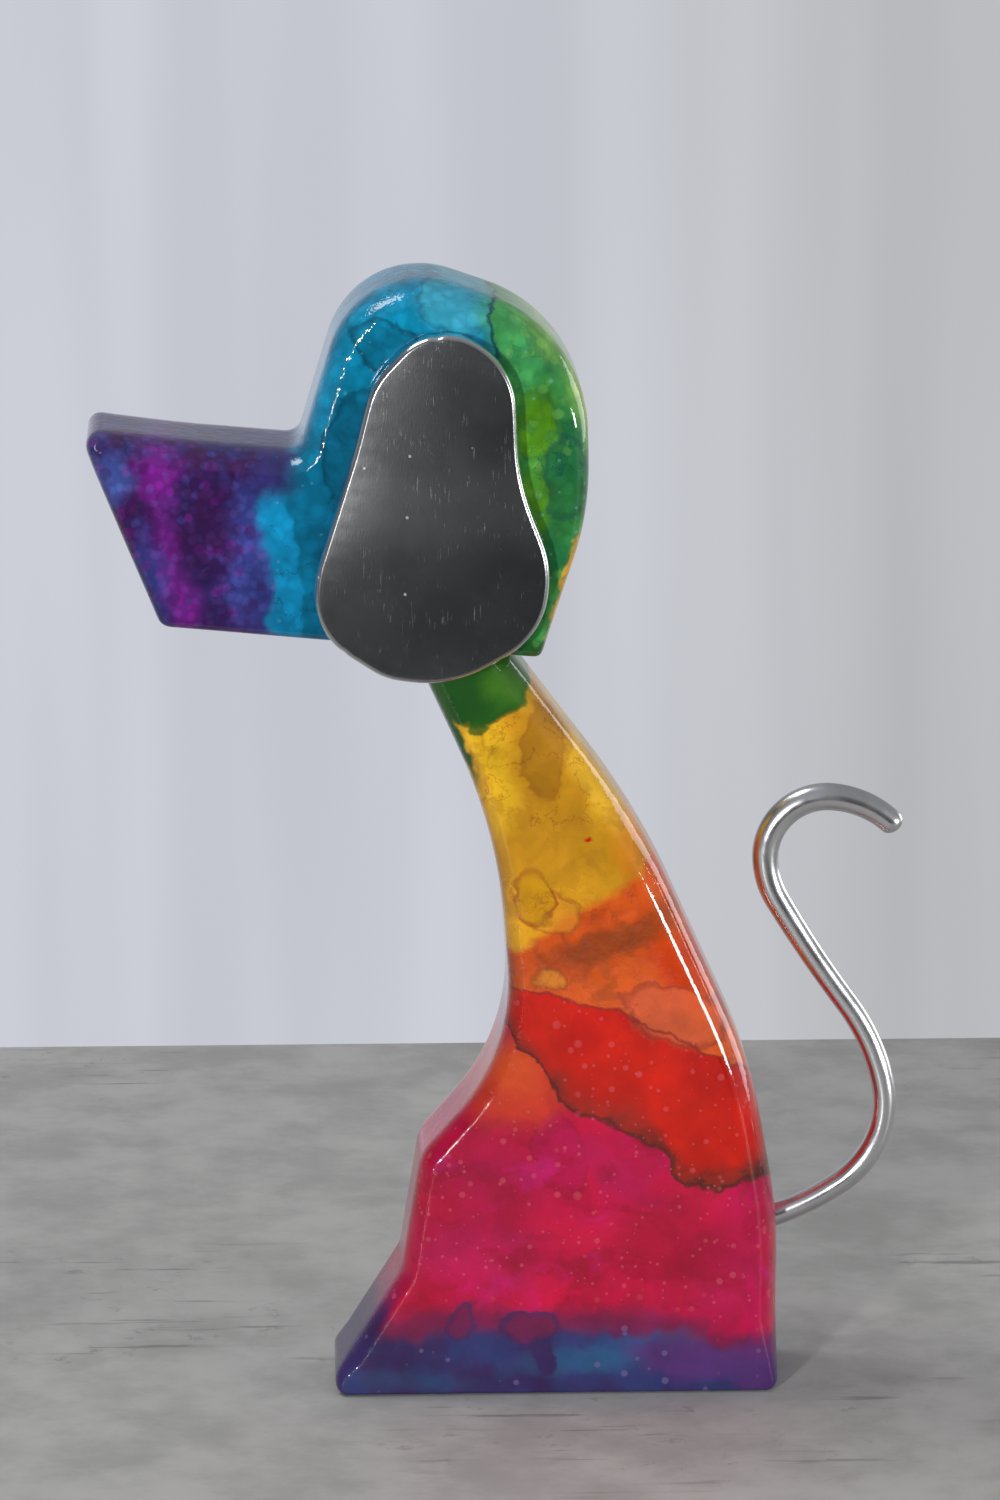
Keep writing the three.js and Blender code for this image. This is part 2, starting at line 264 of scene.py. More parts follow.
def let_coat_sink(mesh, still_below=2 * MM):
    """Lowers the surface in gentle swells, but leaves the sole flat."""
    mesh.normal_update()
    for vertex in mesh.verts:
        swell = 0.5 + 0.5 * noise.noise(vertex.co / COAT_SWELL)
        hold = min(1, max(0, vertex.co.z / still_below - 1))
        vertex.co -= vertex.normal * (COAT_SINK * swell * hold)


def add_object(name, data):
    added = bpy.data.objects.new(name, data)
    bpy.context.scene.collection.objects.link(added)
    return added


def add_mesh(name, mesh):
    """Puts a bmesh into the scene as an object."""
    data = bpy.data.meshes.new(name)
    mesh.to_mesh(data)
    mesh.free()
    return add_object(name, data)


def finished(mesh, name, node):
    """Turns a bmesh into a shaded piece that stands for a CAD node."""
    piece = add_mesh(name, mesh)
    piece.data.shade_smooth()
    piece.data.set_sharp_from_angle(angle=SHARP_EDGE)
    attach(piece, "root")
    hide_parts(node)
    return piece


def dress(piece, material):
    piece.data.materials.clear()
    piece.data.materials.append(material)


# Body

SAWN_TOP_DEPTH = 0.05 * MM
LOOK_BACK = 5 * MM


def with_longer_neck(loop, run=14 * MM):
    """Carries the outline on past the neck's sawn top, and gives the plane of the saw cut."""
    up = np.array([math.sin(HEAD_TILT), math.cos(HEAD_TILT)])
    height = loop @ up
    top = height > height.max() - SAWN_TOP_DEPTH
    nape = max(np.flatnonzero(top), key=lambda i: loop[i, 0])
    order = np.roll(loop, -nape - 1, axis=0)
    top = np.roll(top, -nape - 1)
    nape_point = order[-1]
    rest = order[~top]
    throat_point = min(order[top], key=lambda point: point[0])

    def carried(corner, others):
        below = others[np.argmin(np.abs(np.linalg.norm(others - corner, axis=1) - LOOK_BACK))]
        return corner + run * (corner - below) / np.linalg.norm(corner - below)

    middle = (nape_point[0] + throat_point[0]) / 2
    behind = carried(nape_point, rest[rest[:, 0] > middle])
    ahead = carried(throat_point, rest[rest[:, 0] <= middle])
    peak = (behind + ahead) / 2 + up * run
    longer = np.vstack([rest, [nape_point, behind, peak, ahead, throat_point]])
    plane = Vector((up[0], 0, up[1]))
    return longer, plane * height.max(), plane


def saw_off(mesh, place, direction):
    """Cuts away everything on one side of a plane and closes the cut."""
    geometry = mesh.verts[:] + mesh.edges[:] + mesh.faces[:]
    cut = bmesh.ops.bisect_plane(
        mesh, geom=geometry, plane_co=place, plane_no=direction, clear_outer=True
    )
    rim = [part for part in cut["geom_cut"] if isinstance(part, bmesh.types.BMEdge)]
    bmesh.ops.contextual_create(mesh, geom=rim)


def drill(piece, place, direction, radius, depth):
    """Drills a blind round hole into a piece."""
    mesh = bmesh.new()
    above = 4 * radius
    bmesh.ops.create_cone(
        mesh,
        cap_ends=True,
        segments=DRILL_SIDES,
        radius1=radius,
        radius2=radius,
        depth=depth + above,
    )
    turn = direction.to_track_quat("Z", "Y").to_matrix().to_4x4()
    middle = place + direction * ((above - depth) / 2)
    mesh.transform(Matrix.Translation(middle) @ turn)
    tool = add_mesh("drill", mesh)
    cut = piece.modifiers.new("socket", "BOOLEAN")
    cut.operation = "DIFFERENCE"
    cut.solver = "EXACT"
    cut.object = tool
    view = bpy.context.evaluated_depsgraph_get()
    bored = bpy.data.meshes.new_from_object(piece.evaluated_get(view))
    piece.modifiers.remove(cut)
    piece.data = bored
    bpy.data.objects.remove(tool)
    bored.set_sharp_from_angle(angle=SHARP_EDGE)


def make_body():
    low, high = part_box("body")
    thickness = high.y - low.y
    loop, place, direction = with_longer_neck(plane_section("body", low.y + 2 * BODY_ROUNDING))
    points = even_outline(loop, POINT_SPACING)
    backward = np.clip(0.5 + outward(points)[:, 0], 0, 1)
    wanted = CHEST_ROUNDING + (BODY_ROUNDING - CHEST_ROUNDING) * backward
    near_sole = SOLE_ROUNDING + SOLE_FLARE * np.maximum(points[:, 1], 0)
    wanted = np.minimum(blurred(wanted, POINT_SPACING, ROUNDING_BLEND).real, near_sole)
    mesh = board(points, thickness, wanted)
    let_coat_sink(mesh)
    saw_off(mesh, place, direction)
    piece = finished(mesh, "dog_body", "body")
    drill(piece, tail_root(), tail_heading(), TAIL_DIAMETER / 2 + FIT_GAP, TAIL_SOCKET_DEPTH)
    return piece


# Head


def make_head():
    low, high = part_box("head")
    points = even_outline(plane_section("head", low.y + 2 * HEAD_ROUNDING), POINT_SPACING)
    upward = np.clip(0.5 + outward(points)[:, 1], 0, 1)
    wanted = UNDER_HEAD_ROUNDING + (HEAD_ROUNDING - UNDER_HEAD_ROUNDING) * upward
    wanted = blurred(wanted, POINT_SPACING, ROUNDING_BLEND).real
    mesh = board(points, high.y - low.y, wanted)
    let_coat_sink(mesh)
    return finished(mesh, "dog_head", "head")


# Ears

# Small nicks in the rim, from the middle of the ear's box, as shares of its width and height,
# with the width of each
EAR_NICKS = (
    (0.02, 0.5, 1.4 * MM),
    (0.09, 0.487, 1.0 * MM),
    (-0.36, -0.02, 1.2 * MM),
    (-0.37, -0.4, 1.1 * MM),
)
NICK_DEPTH = 0.45 * MM
# Width of the polished rim, which the material also paints paler as a highlight
POLISHED_RIM = 0.8 * MM
FULL_POLISH = 0.6 * POLISHED_RIM
EAR_ROUNDING_WIDTH = 0.6
EAR_FLATNESS = 1.3
DOME_ROUNDS = 900
# The back of the ear takes only every third step of the rounding
BACK_STRIDE = 3


def raise_dome(mesh, rim_depth, side):
    """Raises the flat face inside the rim to a smooth dome, like a skin under even pressure."""

    def is_flat(vertex):
        return abs(vertex.co.y - side * rim_depth) < SAME_PLACE

    face = [
        vertex for vertex in mesh.verts
        if is_flat(vertex) and all(is_flat(edge.other_vert(vertex)) for edge in vertex.link_edges)
    ]
    number = {vertex: i for i, vertex in enumerate(face)}
    border = len(face)
    links = [
        [number.get(edge.other_vert(vertex), border) for edge in vertex.link_edges]
        for vertex in face
    ]
    # Border and unused places of the table both stay at height 0
    unused = border + 1
    count = np.array([len(link) for link in links])
    table = np.array([link + [unused] * (count.max() - len(link)) for link in links])
    height = np.zeros(border + 2)
    for _ in range(DOME_ROUNDS):
        height[:border] = height[table].sum(axis=1) / count + 1
    height = EAR_DOMING * (1 - (1 - height / height.max()) ** EAR_FLATNESS)
    for vertex, rise in zip(face, height):
        vertex.co.y += side * rise


def make_ear(node, side):
    low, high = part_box(node)
    inner, outer = (low.y, high.y) if side > 0 else (-high.y, -low.y)
    rim_depth = outer - EAR_DOMING
    loop = plane_section(node, side * (inner + 2 * EAR_BACK_ROUNDING))
    points = even_outline(loop, EAR_POINT_SPACING, EAR_SOFTENING)
    middle = (points.max(axis=0) + points.min(axis=0)) / 2
    size = np.ptp(points, axis=0)
    normals = outward(points)
    for share_x, share_z, width in EAR_NICKS:
        nick = middle + size * (share_x, share_z)
        near = np.exp(-((np.linalg.norm(points - nick, axis=1) / width) ** 2))
        points = points - normals * (NICK_DEPTH * near)[:, None]

    def ring(inset, depth):
        moved = inset_outline(points, np.full(len(points), inset))
        return np.column_stack([moved[:, 0], np.full(len(points), side * depth), moved[:, 1]])

    angles = np.linspace(0, math.pi / 2, EDGE_STEPS + 1)
    back = [
        ring(
            EAR_BACK_ROUNDING * (1 - math.sin(angle)),
            inner + EAR_BACK_ROUNDING * (1 - math.cos(angle)),
        )
        for angle in angles[::BACK_STRIDE]
    ]
    front = [
        ring(
            EAR_ROUNDING * EAR_ROUNDING_WIDTH * (1 - math.cos(angle)),
            rim_depth - EAR_ROUNDING * (1 - math.sin(angle)),
        )
        for angle in angles
    ]
    rings = back + front
    mesh = skinned(rings[::side], EAR_FACE_SPACING)
    raise_dome(mesh, rim_depth, side)
    piece = finished(mesh, "dog_" + node, node)
    # Nearness to the rim: it marks the polished rim, and in the material also its painted highlight
    places = np.array([vertex.co for vertex in piece.data.vertices])
    from_edge = distance_to(places[:, (0, 2)], points)
    polish_and_highlight = 1 - np.clip((from_edge - FULL_POLISH) / POLISHED_RIM, 0, 1)
    attribute = piece.data.attributes.new("polish_and_highlight", "FLOAT", "POINT")
    attribute.data.foreach_set("value", polish_and_highlight.astype(np.float32))
    return piece


# Tail


def tail_root():
    """Where the middle of the rod leaves the back of the body."""
    loop = plane_section("body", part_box("body")[0].y + 2 * BODY_ROUNDING)
    ahead = np.roll(loop, -1, axis=0)
    crossed = (loop[:, 1] > TAIL_ROOT_HEIGHT) != (ahead[:, 1] > TAIL_ROOT_HEIGHT)
    start, end = loop[crossed], ahead[crossed]
    share = (TAIL_ROOT_HEIGHT - start[:, 1]) / (end[:, 1] - start[:, 1])
    back = (start[:, 0] + share * (end[:, 0] - start[:, 0])).max()
    return Vector((back, 0, TAIL_ROOT_HEIGHT))


def tail_heading():
    angle = math.radians(TAIL_ROOT_ANGLE)
    return Vector((math.cos(angle), 0, math.sin(angle)))


def smooth_step(value, low, high):
    share = min(1, max(0, (value - low) / (high - low)))
    return share * share * (3 - 2 * share)


def tail_radius(distance):
    hook = smooth_step(distance, TAIL_HOOK_START * TAIL_LENGTH, TAIL_HOOK_TOP * TAIL_LENGTH)
    tip = smooth_step(distance, TAIL_HOOK_TOP * TAIL_LENGTH, TAIL_LENGTH)
    diameter = TAIL_DIAMETER + (TAIL_HOOK_DIAMETER - TAIL_DIAMETER) * hook
    diameter += (TAIL_TIP_DIAMETER - TAIL_HOOK_DIAMETER) * tip
    left = TAIL_LENGTH - distance
    blunt = math.sqrt(max(0, 1 - max(0, 1 - left / TAIL_TIP_DEPTH) ** 2))
    return diameter / 2 * blunt


def tail_centre_line():
    """Distances along the rod with its places and headings, from inside the socket to the tip."""
    place = np.array([tail_root().x, tail_root().z])
    heading = math.radians(TAIL_ROOT_ANGLE)
    along = np.array([math.cos(heading), math.sin(heading)])
    inside_socket = FIT_GAP - TAIL_SOCKET_DEPTH
    line = [(inside_socket, place + along * inside_socket, heading)]
    distance = 0
    for share, turn in TAIL_BENDS:
        run = share * TAIL_LENGTH
        steps = max(1, round(run / TAIL_STEP))
        for _ in range(steps):
            line.append((distance, place.copy(), heading))
            half = math.radians(turn) / steps / 2
            heading += half
            place = place + run / steps * np.array([math.cos(heading), math.sin(heading)])
            heading += half
            distance += run / steps
    line.append((distance, place, heading))
    return line


def make_tail():
    """A round bar, very slightly uneven as a polished casting is, swept along its bends."""
    mesh = bmesh.new()
    rows = []
    tip_shares = (0.75, 0.5, 0.3, 0.15, 0.05, 0.01)
    fine_tip = {TAIL_LENGTH - TAIL_TIP_DEPTH * share for share in tip_shares}
    line = tail_centre_line()
    ahead = [distance for distance, _, _ in line]
    places = np.array([place for _, place, _ in line])
    turns = [heading for _, _, heading in line]
    stops = sorted({d for d in ahead if d < TAIL_LENGTH - TAIL_TIP_DEPTH} | fine_tip)
    for distance in stops:
        x, z = (np.interp(distance, ahead, places[:, axis]) for axis in (0, 1))
        heading = np.interp(distance, ahead, turns)
        row = []
        for side in range(TAIL_SIDES):
            angle = 2 * math.pi * side / TAIL_SIDES
            across = Vector((-math.sin(heading) * math.cos(angle), math.sin(angle), 0))
            across.z = math.cos(heading) * math.cos(angle)
            uneven = noise.noise((Vector((x, 0, z)) + TAIL_SWELL_RADIUS * across) / TAIL_SWELL)
            radius = tail_radius(distance) * (1 - TAIL_UNEVENNESS * (0.5 + 0.5 * uneven))
            row.append(mesh.verts.new(Vector((x, 0, z)) + across * radius))
        rows.append(row)
    for near, far in zip(rows, rows[1:]):
        for i in range(TAIL_SIDES):
            k = (i + 1) % TAIL_SIDES
            mesh.faces.new((near[i], near[k], far[k], far[i]))
    mesh.faces.new(rows[0])
    mesh.faces.new(rows[-1])
    bmesh.ops.recalc_face_normals(mesh, faces=mesh.faces[:])
    return finished(mesh, "dog_tail", "tail")


# Materials


class Nodes:
    """Short calls that add nodes to a node tree and give back their output sockets."""

    def __init__(self, tree):
        self.tree = tree
        self.tree.nodes.clear()

    def add(self, kind, inputs, **settings):
        node = self.tree.nodes.new("ShaderNode" + kind)
        for key, value in settings.items():
            setattr(node, key, value)
        for key, value in inputs.items():
            if isinstance(value, bpy.types.NodeSocket):
                self.tree.links.new(value, node.inputs[key])
            else:
                node.inputs[key].default_value = value
        return node

    def calc(self, operation, *values):
        return self.add("Math", dict(enumerate(values)), operation=operation).outputs[0]

    def both(self, share, other):
        """Product of two shares."""
        return self.calc("MULTIPLY", share, other)

    def part(self, axis, vector):
        return self.add("SeparateXYZ", {0: vector}).outputs[axis]

    def vector(self, operation, *values):
        node = self.add("VectorMath", dict(enumerate(values)), operation=operation)
        return node.outputs["Value" if operation in ("LENGTH", "DOT_PRODUCT") else "Vector"]

    def scaled(self, vector, scale):
        inputs = {0: vector, "Scale": scale}
        return self.add("VectorMath", inputs, operation="SCALE").outputs["Vector"]

    def ramp(self, value, low, high, start=0.0, end=1.0):
        """Smooth step from start, where the value is low, to end, where it is high."""
        inputs = {"Value": value, "From Min": low, "From Max": high, "To Min": start, "To Max": end}
        node = self.add("MapRange", inputs, interpolation_type="SMOOTHSTEP")
        return node.outputs["Result"]

    def mix(self, share, first, second, blend="MIX"):
        inputs = {0: share, 6: first, 7: second}
        return self.add("Mix", inputs, data_type="RGBA", blend_type=blend).outputs[2]

    def stretched(self, vector, turn, scale):
        inputs = {"Vector": vector, "Rotation": turn, "Scale": scale}
        return self.add("Mapping", inputs).outputs["Vector"]

    def noise(self, wavelength, detail=3.0, roughness=0.55, at=None, colour=False):
        inputs = {
            "Vector": at or self.place,
            "Scale": 1 / wavelength,
            "Detail": detail,
            "Roughness": roughness,
        }
        return self.add("TexNoise", inputs).outputs["Color" if colour else "Fac"]

    def cells(self, size, at=None):
        return self.add("TexVoronoi", {"Vector": at or self.place, "Scale": 1 / size}).outputs

    def shifted(self, amount, wavelength, detail=3.0, at=None):
        """The place, pushed about by noise: amount and wavelength in millimetres."""
        wander = self.noise(wavelength, detail, at=at, colour=True)
        push = self.vector("SUBTRACT", wander, (0.5, 0.5, 0.5))
        return self.vector("ADD", at or self.place, self.scaled(push, amount))


class Surface(Nodes):
    """A new material, painted by places on the object in millimetres."""

    def __init__(self, name):
        self.material = bpy.data.materials.new(name)
        self.material.use_nodes = True
        super().__init__(self.material.node_tree)
        at = self.add("TexCoord", {}).outputs["Object"]
        self.place = self.scaled(at, 1 / MM)

    def facing(self):
        return self.add("NewGeometry", {}).outputs["Normal"]

    def bump(self, strength, depth, height):
        inputs = {"Strength": strength, "Distance": depth, "Height": height}
        return self.add("Bump", inputs).outputs[0]

    def shade(self, inputs, bump=None):
        shader = self.add("BsdfPrincipled", inputs)
        if bump:
            for socket in ("Normal", "Coat Normal"):
                self.tree.links.new(bump, shader.inputs[socket])
        output = self.add("OutputMaterial", {})
        self.tree.links.new(shader.outputs[0], output.inputs["Surface"])
        return self.material


class Ink(Surface):
    """Alcohol inks laid over each other in pools with torn edges. Places are in millimetres."""

    ANY_DEPTH = 1e6
    TIDE_LINE = 0.7
    LARGEST_DROP = 0.33

    def __init__(self, name, ground):
        super().__init__(name)
        wander = self.shifted(10, 22, 2.0)
        self.torn = self.shifted(6.0, 6.0, 5.0, at=wander)
        self.colour = ground

    def lay(self, share, colour, blend="MIX"):
        self.colour = self.mix(share, self.colour, colour, blend)

    def pool(self, colour, middle, size, turn=0, soft=0.12, strength=1.0, line=None):
        """A pool of ink. A tide line along its edge is given as its strength and colour."""
        at = self.add(
            "Mapping",
            {
                "Vector": self.torn,
                "Location": (middle[0], 0, middle[1]),
                "Rotation": (0, math.radians(turn), 0),
                "Scale": (size[0], self.ANY_DEPTH, size[1]),
            },
            vector_type="TEXTURE",
        ).outputs["Vector"]
        away = self.vector("LENGTH", at)
        within = self.ramp(away, 1 + soft, 1 - soft, end=strength)
        self.lay(within, colour)
        if line:
            line_strength, line_colour = line
            width = self.TIDE_LINE / min(size)
            edge = self.both(self.ramp(away, 1 - 2 * width, 1.0), self.ramp(away, 1 + width, 1.0))
            self.lay(self.both(edge, line_strength), line_colour)

    def height_over(self, border, span, low=-62.0, high=62.0):
        """How far the torn place lies above a border given as points (x, z)."""
        share = self.ramp_linear(self.part("X", self.torn), low, high)
        node = self.add("FloatCurve", {"Value": share})
        curve = node.mapping.curves[0]
        points = [((px - low) / (high - low), pz / span) for px, pz in border]
        curve.points[0].location = points[0]
        curve.points[1].location = points[-1]
        for point in points[1:-1]:
            curve.points.new(*point)
        for point in curve.points:
            point.handle_type = "AUTO_CLAMPED"
        node.mapping.update()
        return self.calc("SUBTRACT", self.part("Z", self.torn), self.both(node.outputs[0], span))

    def ramp_linear(self, value, low, high):
        return self.add("MapRange", {"Value": value, "From Min": low, "From Max": high}).outputs[0]

    def mottle(self, amount, wavelength):
        """Uneven strength of the ink."""
        deep = self.ramp_linear(self.noise(wavelength, 4.0, at=self.torn), 0.3, 0.7)
        darker = self.mix(deep, (1 - amount,) * 3 + (1,), (1 + amount,) * 3 + (1,))
        self.lay(1.0, darker, "MULTIPLY")

    def veins(self, wavelength, width, strength, colour, share=1.0):
        """Thin wandering lines where one ink dried against another."""
        level = self.noise(wavelength, 5.0, 0.6, at=self.torn)
        near = self.calc("ABSOLUTE", self.calc("SUBTRACT", level, 0.5))
        line = self.ramp(near, width, 0.0, end=strength)
        broken = self.ramp(self.noise(2.2 * wavelength, 2.0), 0.46, 0.6)
        self.lay(self.both(self.both(line, broken), share), colour)

    def speckles(self, size, most, colour, strength, share):
        """Pale round drops, each with a soft edge, in some of the cells of a loose grid."""
        cell = self.cells(size)
        chance = self.part("X", cell["Color"])
        radius = self.both(self.ramp_linear(chance, 1 - most, 1.0), self.LARGEST_DROP)
        drop = self.ramp(self.calc("SUBTRACT", radius, cell["Distance"]), 0.0, 0.11, end=strength)
        self.lay(self.both(drop, share), colour)

    def bubbles(self, size, dark, strength, share):
        """Small round cells, each lighter inside than along its border."""
        cell = self.cells(size, at=self.shifted(0.8, 3.0))
        edge = self.ramp(cell["Distance"], 0.25, 0.6, end=strength)
        self.lay(self.both(edge, share), dark, "MULTIPLY")

    def tinted_cells(self, size, colour, most, strength, share):
        """A second ink in some of the small round cells."""
        cell = self.cells(size, at=self.shifted(0.8, 3.0))
        chance = self.part("Y", cell["Color"])
        chosen = self.ramp(chance, 1 - most, 1.05 - most, end=strength)
        inside_cell = self.ramp(cell["Distance"], 0.62, 0.4)
        self.lay(self.both(self.both(chosen, inside_cell), share), colour)

    def coated(self):
        """Ink under a thick clear coat: glossy, with fine orange peel that breaks up highlights."""
        peel = self.noise(3.0, 2.0, 0.5)
        pits = self.noise(0.8, 1.0, 0.5)
        forward = self.ramp(self.part("X", self.facing()), 0.05, -0.25)
        pitted = self.both(pits, self.calc("MULTIPLY_ADD", forward, 1.7, 0.15))
        height = self.calc("ADD", peel, pitted)
        return self.shade(
            {
                "Base Color": self.colour,
                "Roughness": 0.5,
                "Specular IOR Level": 0.0,
                "Coat Weight": 1.0,
                "Coat Roughness": 0.035,
                "Coat IOR": 1.5,
            },
            self.bump(0.6, COAT_PEEL, height),
        )


def rgb(red, green, blue):
    return (red, green, blue, 1.0)


INK_LINE = rgb(0.05, 0.012, 0.008)

PURPLE = rgb(0.032, 0.016, 0.085)
NAVY = rgb(0.024, 0.03, 0.12)
BLUE = rgb(0.022, 0.075, 0.20)
SEA_BLUE = rgb(0.012, 0.115, 0.22)
VIOLET = rgb(0.075, 0.022, 0.13)
PLUM = rgb(0.13, 0.010, 0.055)
CRIMSON = rgb(0.46, 0.002, 0.038)
WINE = rgb(0.29, 0.001, 0.022)
MAGENTA = rgb(0.40, 0.002, 0.055)
ROSE = rgb(0.40, 0.005, 0.070)
RED = rgb(0.52, 0.009, 0.001)
RUST = rgb(0.20, 0.016, 0.010)
ORANGE = rgb(0.62, 0.092, 0.010)
BURNT = rgb(0.24, 0.045, 0.010)
SALMON = rgb(0.62, 0.10, 0.035)
APRICOT = rgb(0.68, 0.25, 0.02)
AMBER = rgb(0.42, 0.19, 0.012)
YELLOW = rgb(0.66, 0.32, 0.012)
LEMON = rgb(0.80, 0.48, 0.020)
LEAF = rgb(0.016, 0.085, 0.010)
PALE_RED = rgb(0.62, 0.11, 0.13)
PALE_VIOLET = rgb(0.16, 0.11, 0.26)
HOT_PINK = rgb(0.50, 0.008, 0.15)
VERMILION = rgb(0.50, 0.035, 0.012)
DEEP_RED = rgb(0.42, 0.003, 0.001)
TANGERINE = rgb(0.48, 0.06, 0.010)
HONEY = rgb(0.58, 0.27, 0.012)
MUSTARD = rgb(0.50, 0.24, 0.006)
FERN = rgb(0.06, 0.17, 0.014)
DARK_LEAF = rgb(0.012, 0.06, 0.012)
LEAF_LINE = rgb(0.008, 0.05, 0.01)


# Borders between inks on the body, as points (x, z)
BASE_BORDER = ((-62, 22), (-44, 23), (-22, 24), (18, 24), (34, 21), (55, 16), (62, 16))
RED_BORDER = (
    (-62, 124), (-20, 111), (-11, 98), (-4.6, 89.6), (0, 83), (8.3, 77), (18, 73.5),
    (26, 69), (31, 61), (37, 57.5), (45, 56.6), (50, 60), (62, 60),
)
ORANGE_BORDER = ((-62, 116), (-12.7, 112), (8.4, 108), (24, 100.7), (45, 91), (62, 84))
YELLOW_BORDER = ((-62, 118), (-14, 122), (-5, 126), (4, 134), (16, 141), (28, 152), (62, 160))


def lay_crimson(coat):
    """Crimson, wine and rose above the base, in slanting streaks."""
    coat.lay(coat.ramp(coat.noise(30, 3.0, at=coat.torn), 0.42, 0.62), MAGENTA)
    coat.pool(ROSE, (-21, 40), (17, 9), soft=0.5, strength=0.8)
    coat.pool(ROSE, (44, 36), (9, 10), soft=0.6, strength=0.6)
    coat.pool(WINE, (34, 40), (14, 9), soft=0.6, strength=0.7)
    coat.pool(WINE, (-22, 52), (12, 8), soft=0.6, strength=0.5)
    coat.pool(CRIMSON, (14, 30), (16, 8), turn=20, soft=0.4, strength=0.8)
    coat.pool(MAGENTA, (0.6, 67), (7.5, 11), turn=-12, soft=0.08, line=(0.5, WINE))
    coat.pool(ROSE, (15, 62), (14, 4), turn=35, soft=0.6, strength=0.6)
    streaks = coat.stretched(coat.torn, (0, -0.55, 0), (0.45, 1, 1))
    coat.lay(coat.ramp(coat.noise(9, 5.0, at=streaks), 0.5, 0.64, end=0.6), WINE)
    coat.lay(coat.ramp(coat.noise(12, 4.0, at=streaks), 0.56, 0.68, end=0.5), HOT_PINK)


def lay_base(coat):
    """Blue and violet base, which climbs the front of the toe. Gives the height above it."""
    base = coat.height_over(BASE_BORDER, 40)
    blue = coat.mix(coat.ramp(coat.noise(17, 3.0, at=coat.torn), 0.4, 0.62), PURPLE, NAVY)
    coat.lay(coat.ramp(base, 3.5, -3.0, end=0.9), PLUM)
    coat.lay(coat.ramp(base, -3.0, -9.0), blue)
    coat.pool(SEA_BLUE, (8, 9), (17, 3.6), turn=-4, soft=0.6, strength=0.45)
    coat.pool(BLUE, (24, 14), (14, 3.5), turn=-5, soft=0.5, strength=0.7)
    coat.pool(SEA_BLUE, (-40, 3), (16, 3), soft=0.6, strength=0.2)
    coat.pool(VIOLET, (36, 10), (15, 6), turn=10, soft=0.4, strength=0.9)
    coat.pool(VIOLET, (54, 8), (7, 8), soft=0.5, strength=0.8)
    coat.pool(PLUM, (-26, 19.5), (5, 4.6), soft=0.14, strength=0.8, line=(0.6, PURPLE))
    coat.pool(PLUM, (-7, 19.5), (7.5, 5.2), soft=0.12, strength=0.85, line=(0.7, PURPLE))
    coat.pool(PURPLE, (-4, 10), (3.4, 5.4), turn=-14, soft=0.16)
    ahead = coat.ramp(coat.part("X", coat.facing()), -0.3, -0.7)
    toe = coat.both(ahead, coat.ramp(coat.part("Z", coat.torn), 38, 20))
    coat.lay(coat.both(toe, 0.85), PURPLE)
    return base


def lay_red(coat):
    """Red field with a dark torn edge below, and an orange wedge behind the forelegs."""
    coat.pool(VERMILION, (-9, 86), (15, 12), turn=-20, soft=0.4, strength=0.95)
    coat.pool(ORANGE, (-12, 90), (6, 8), turn=-20, soft=0.6, strength=0.5)
    torn_edge = coat.height_over(RED_BORDER, 140)
    field = coat.ramp(torn_edge, -0.5, 0.5)
    coat.lay(field, RED)
    deep = coat.both(field, coat.ramp(coat.noise(20, 3.0), 0.45, 0.62))
    coat.lay(coat.both(deep, 0.6), DEEP_RED)
    shadow = coat.both(field, coat.ramp(torn_edge, 9.0, 0.0))
    across = coat.part("X", coat.torn)
    uneven = coat.ramp(coat.noise(9, 3.0), 0.35, 0.6, start=0.45)
    uneven = coat.calc("MAXIMUM", uneven, coat.ramp(across, 24, 34))
    coat.lay(coat.both(shadow, uneven), RUST)
    blotches = coat.ramp(coat.noise(5, 5.0, at=coat.torn), 0.42, 0.56, end=0.7)
    end_of_red = coat.both(coat.ramp(across, 20, 30), coat.ramp(torn_edge, 7.0, 1.0))
    coat.lay(coat.both(field, coat.both(end_of_red, blotches)), INK_LINE)
    edge = coat.ramp(coat.calc("ABSOLUTE", torn_edge), 1.1, 0.2, end=0.75)
    coat.lay(edge, INK_LINE)


def lay_orange(coat):
    """Mottled orange above the red, with burnt smudges and salmon and apricot pools."""
    upper_edge = coat.height_over(ORANGE_BORDER, 140)
    upper = coat.ramp(upper_edge, -0.4, 0.6)
    coat.lay(upper, ORANGE)
    warm = coat.both(upper, coat.ramp(coat.noise(18, 4.0, at=coat.torn), 0.4, 0.64))
    coat.lay(coat.both(warm, 0.7), TANGERINE)
    smudges = coat.ramp(coat.noise(6, 5.0, at=coat.torn), 0.5, 0.62, end=0.4)
    coat.lay(coat.both(upper, smudges), BURNT)
    coat.pool(RED, (32, 118), (6, 14), turn=-25, soft=0.6, strength=0.45)
    coat.veins(13, 0.012, 0.5, RUST, share=upper)
    coat.pool(SALMON, (31, 104), (15, 8), turn=22, soft=0.15, strength=0.75, line=(0.5, RUST))
    coat.pool(APRICOT, (-2, 115), (4.4, 3), soft=0.2, strength=0.7, line=(0.5, RUST))
    coat.pool(BURNT, (13, 124), (16, 3.8), turn=-14, soft=0.5, strength=0.85)
    coat.pool(BURNT, (27, 132), (7, 4), turn=-40, soft=0.6, strength=0.7)
    coat.pool(BURNT, (-13, 113), (4, 6), soft=0.5, strength=0.6)
    coat.lay(coat.ramp(coat.calc("ABSOLUTE", upper_edge), 0.8, 0.1, end=0.7), RUST)


